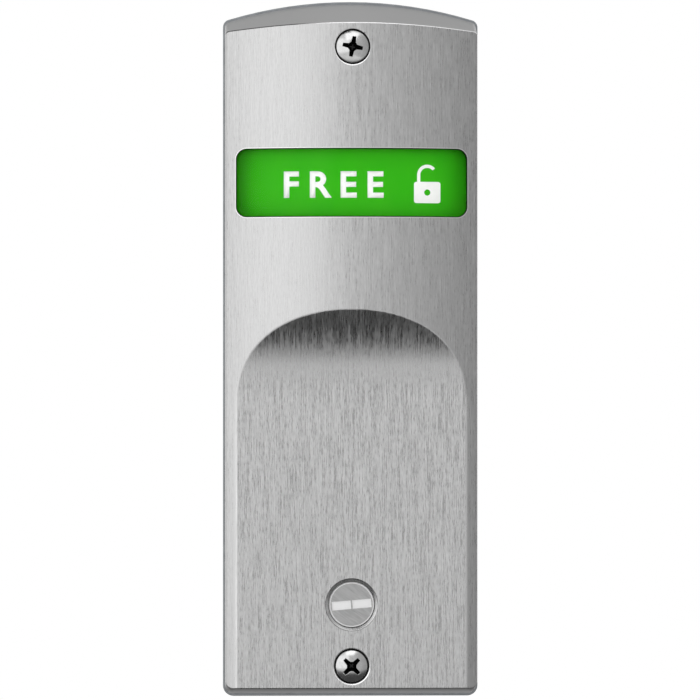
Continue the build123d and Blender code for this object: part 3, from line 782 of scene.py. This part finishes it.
def rounded_box(centre, width, height, corner):
    """Outline of a rounded rectangle."""
    half_w, half_h = width / 2 - corner, height / 2 - corner
    points = []
    for turn, (sx, sz) in zip((0, 90, 180, 270), ((1, 1), (-1, 1), (-1, -1), (1, -1))):
        middle = (centre[0] + sx * half_w, centre[1] + sz * half_h)
        points += arc(middle, corner, turn, turn + 90, CORNER_STEPS)
    return points


def filled(outlines):
    """A flat bmesh filled between outlines: the first is the outside, the others are holes."""
    made = bmesh.new()
    edges = []
    for outline in outlines:
        ring = [made.verts.new((x, 0, z)) for x, z in outline]
        edges += [made.edges.new((ring[i], ring[(i + 1) % len(ring)])) for i in range(len(ring))]
    bmesh.ops.triangle_fill(made, edges=edges, use_beauty=True)
    return made


LOCK_WIDTH = 6.2 * MM
LOCK_HEIGHT = 4.9 * MM
LOCK_CORNER = 0.55 * MM
SHACKLE_RADIUS = 2.0 * MM
SHACKLE_BAR = 0.75 * MM
SHACKLE_RISE = 1.7 * MM
SHACKLE_SINK = 0.1 * MM
SHACKLE_OPEN = 40
OPEN_STEPS, SHUT_STEPS = 14, 18
KEY_RADIUS = 0.72 * MM
KEY_STEPS = 24


def padlock(centre_x, bottom_z, is_open):
    """A plain padlock: rounded body with a round keyhole, and a shackle that is shut or swung out."""
    body = (centre_x, bottom_z + LOCK_HEIGHT / 2)
    keyhole = arc(body, KEY_RADIUS, 0, 360, KEY_STEPS)[:-1]
    made = filled([rounded_box(body, LOCK_WIDTH, LOCK_HEIGHT, LOCK_CORNER), keyhole])
    top = bottom_z + LOCK_HEIGHT - SHACKLE_SINK
    spring = top + SHACKLE_RISE
    outer, inner = SHACKLE_RADIUS + SHACKLE_BAR / 2, SHACKLE_RADIUS - SHACKLE_BAR / 2
    middle = (centre_x, spring)
    if is_open:
        shape = [(centre_x - outer, top)] + arc(middle, outer, 180, SHACKLE_OPEN, OPEN_STEPS)
        shape += arc(middle, inner, SHACKLE_OPEN, 180, OPEN_STEPS) + [(centre_x - inner, top)]
    else:
        shape = [(centre_x - outer, top)] + arc(middle, outer, 180, 0, SHUT_STEPS)
        shape += [(centre_x + outer, top), (centre_x + inner, top)]
        shape += arc(middle, inner, 0, 180, SHUT_STEPS) + [(centre_x - inner, top)]
    other = filled([shape])
    data = bpy.data.meshes.new("part")
    other.to_mesh(data)
    other.free()
    made.from_mesh(data)
    bpy.data.meshes.remove(data)
    return made


def printed(name, made):
    """Lay flat artwork on the flag as ink that rides with it."""
    wrap(made)
    mesh_piece(name, made, "white_ink", "indicator")


# The word stands left of the middle and the padlock right of it, as far apart as on such films
WORD_X = -4.2 * MM
LOCK_X = 17.4 * MM
WORD_DROP = 0.4 * MM
LOCK_DROP = 4.6 * MM
zone_height = red_high.z - red_low.z
for zone, text, spacing, middle, is_open in (
        ("green", "FREE", 1.5, window_middle, True),
        ("red", "IN USE", 1.15, window_middle - zone_height, False)):
    printed(zone + "_word", word(text, CAP_HEIGHT, WORD_X, middle - WORD_DROP, spacing))
    printed(zone + "_padlock", padlock(LOCK_X, middle - LOCK_DROP, is_open))


# Camera: the photograph's view, from 1.4 m in front and a little to the left

CAMERA_PLACE = Vector((-40.0 * MM, -1.4, 58.68 * MM))
PICTURE_MIDDLE_X = -0.02 * MM
PICTURE_SPAN = 162.66 * MM
SENSOR = 36.0
data = bpy.data.cameras.new("camera")
data.sensor_width = SENSOR
data.lens = SENSOR * -CAMERA_PLACE.y / PICTURE_SPAN
camera = bpy.data.objects.new("camera", data)
camera.location = CAMERA_PLACE
turn_right = math.atan((PICTURE_MIDDLE_X - CAMERA_PLACE.x) / -CAMERA_PLACE.y)
camera.rotation_euler = (math.pi / 2, 0, -turn_right)
scene.collection.objects.link(camera)
scene.camera = camera


# Studio

FILL = 0.74
FLOOR_DROP = 0.14
FLOOR_HALF = 4.0
FLOOR_FADE = (0.35, 0.95)
OBJECT_MIDDLE = (0, 0, 0.06)
STEEP = 0.9
# A card is drawn as a square of 1 and then stretched, so each of its edges lies at a half
HALF = 0.5


def world():
    """White for what the camera, gloss and glass see, and a softer fill for the rest."""
    made = bpy.data.worlds.new("studio")
    made.use_nodes = True
    tree = made.node_tree
    tree.nodes.clear()
    ray = add(tree, "LightPath")
    seen = add(tree, "Math", {0: ray.outputs["Is Camera Ray"], 1: ray.outputs["Is Glossy Ray"]},
               operation="MAXIMUM")
    seen = add(tree, "Math", {0: seen.outputs[0], 1: ray.outputs["Is Transmission Ray"]},
               operation="MAXIMUM")
    strength = add(tree, "MapRange", {"Value": seen.outputs[0], "To Min": FILL, "To Max": 1.0})
    back = add(tree, "Background", {"Color": linear("#FFFFFF"), "Strength": strength.outputs[0]})
    add(tree, "OutputWorld", {0: back.outputs[0]})
    scene.world = made


def square(name, half, finish):
    """A flat square about its own middle."""
    data = bpy.data.meshes.new(name)
    grid = bmesh.new()
    bmesh.ops.create_grid(grid, x_segments=1, y_segments=1, size=half)
    grid.to_mesh(data)
    grid.free()
    data.materials.append(finish)
    plane = bpy.data.objects.new(name, data)
    scene.collection.objects.link(plane)
    return plane


def floor():
    """Plain pale floor well below the object, fading to white away from it."""
    made, tree, out = material("pale_floor")
    place = add(tree, "TexCoord")
    away = add(tree, "VectorMath", {0: place.outputs["Object"]}, operation="LENGTH")
    fade = add(tree, "MapRange", {"Value": away.outputs["Value"], "From Min": FLOOR_FADE[0],
                                  "From Max": FLOOR_FADE[1]})
    ray = add(tree, "LightPath")
    seen = add(tree, "Math", {0: ray.outputs["Is Glossy Ray"], 1: ray.outputs["Is Transmission Ray"]},
               operation="MAXIMUM")
    white = add(tree, "Math", {0: seen.outputs[0], 1: fade.outputs[0]}, operation="MAXIMUM")
    pale = add(tree, "BsdfDiffuse", {"Color": linear("#F4F4F4")})
    glow = add(tree, "Emission", {"Color": linear("#FFFFFF"), "Strength": 1.0})
    mixed = add(tree, "MixShader", {0: white.outputs[0], 1: pale.outputs[0], 2: glow.outputs[0]})
    tree.links.new(mixed.outputs[0], out.inputs[0])
    plane = square("floor", FLOOR_HALF, made)
    plane.location = (0, 0, cad_low.z - FLOOR_DROP)


def aimed(place, target):
    """Where a flat thing stands and how it is turned, so that its face looks at the target."""
    facing = (Vector(target) - Vector(place)).normalized()
    up = Vector((0, 1, 0)) if abs(facing.z) > STEEP else Vector((0, 0, 1))
    side = up.cross(facing).normalized()
    turned = Matrix((side, facing.cross(side), facing)).transposed().to_4x4()
    return Matrix.Translation(place) @ turned


def card(name, place, target, width, height, soft, shades, run=(-HALF, HALF)):
    """A card that only gloss sees. Its edges fade out, and its shade changes along a run of its width."""
    made, tree, out = material(name)
    spot = add(tree, "TexCoord")
    at = add(tree, "SeparateXYZ", {0: spot.outputs["Object"]})
    shade = add(tree, "MapRange", {"Value": at.outputs["X"], "From Min": run[0], "From Max": run[1],
                                   "To Min": shades[0], "To Max": shades[1]})
    glow = add(tree, "Emission", {"Color": linear("#FFFFFF"), "Strength": shade.outputs[0]})
    nothing = add(tree, "BsdfTransparent", {"Color": linear("#FFFFFF")})
    fades = []
    for axis, length in (("X", width), ("Y", height)):
        away = add(tree, "Math", {0: at.outputs[axis]}, operation="ABSOLUTE")
        fades.append(add(tree, "MapRange", {"Value": away.outputs[0], "From Min": HALF,
                                            "From Max": HALF - soft / length},
                         interpolation_type="SMOOTHSTEP"))
    there = add(tree, "Math", {0: fades[0].outputs[0], 1: fades[1].outputs[0]}, operation="MULTIPLY")
    mixed = add(tree, "MixShader", {0: there.outputs[0], 1: nothing.outputs[0], 2: glow.outputs[0]})
    tree.links.new(mixed.outputs[0], out.inputs[0])
    plane = square(name, HALF, made)
    plane.matrix_world = aimed(place, target) @ Matrix.Diagonal((width, height, 1, 1))
    plane.visible_camera = False
    plane.visible_diffuse = False
    plane.visible_transmission = False
    plane.visible_shadow = False


def softbox(name, place, width, height, watts, in_gloss):
    """A soft rectangular lamp aimed at the middle of the object, seen in gloss or not."""
    data = bpy.data.lights.new(name, "AREA")
    data.shape = "RECTANGLE"
    data.size = width
    data.size_y = height
    data.energy = watts
    lamp = bpy.data.objects.new(name, data)
    # A lamp shines along its own -Z, so it is turned round
    lamp.matrix_world = aimed(place, OBJECT_MIDDLE) @ Matrix.Rotation(math.pi, 4, "Y")
    lamp.visible_glossy = in_gloss
    scene.collection.objects.link(lamp)


world()
floor()
softbox("left_softbox", (-0.52, -0.62, 0.16), width=0.95, height=0.8, watts=1.15, in_gloss=True)
softbox("front_fill", (0, -1.1, 0.3), width=0.4, height=0.4, watts=2.8, in_gloss=False)
# Dark ground under the object, for the scoop's roof
card("ground_front", (0, -0.05, cad_low.z - 0.08), (0, -0.05, 1),
     width=0.9, height=0.44, soft=0.14, shades=(0.085, 0.085))
# Greyer ground behind it
card("ground_behind", (0, 0.26, cad_low.z - 0.075), (0, 0.26, 1),
     width=0.9, height=0.50, soft=0.04, shades=(0.32, 0.32))
# A room to the right, dark at one end and grey at the other
card("right_card", (0.564, -0.036, 0.06), (0.064, 0.464, 0.06),
     width=2.04, height=1.0, soft=0.12, shades=(0.0, 0.74), run=(-0.26, 0.31))
# A grey ceiling
card("ceiling_card", (0, 0.32, cad_high.z + 0.16), (0, 0.32, -1),
     width=1.0, height=0.62, soft=0.05, shades=(0.54, 0.54))
# A dark strip for the left half of the top seam
card("seam_card", (-0.135, -0.11, cad_high.z + 0.30), (-0.135, -0.11, -1),
     width=0.23, height=0.28, soft=0.02, shades=(0.12, 0.12))
# A bright top light for the domed screw heads
card("top_light", (0, -0.42, 0.48), OBJECT_MIDDLE, width=0.5, height=0.34, soft=0.06, shades=(1.9, 1.9))

scene.view_settings.view_transform = "Standard"
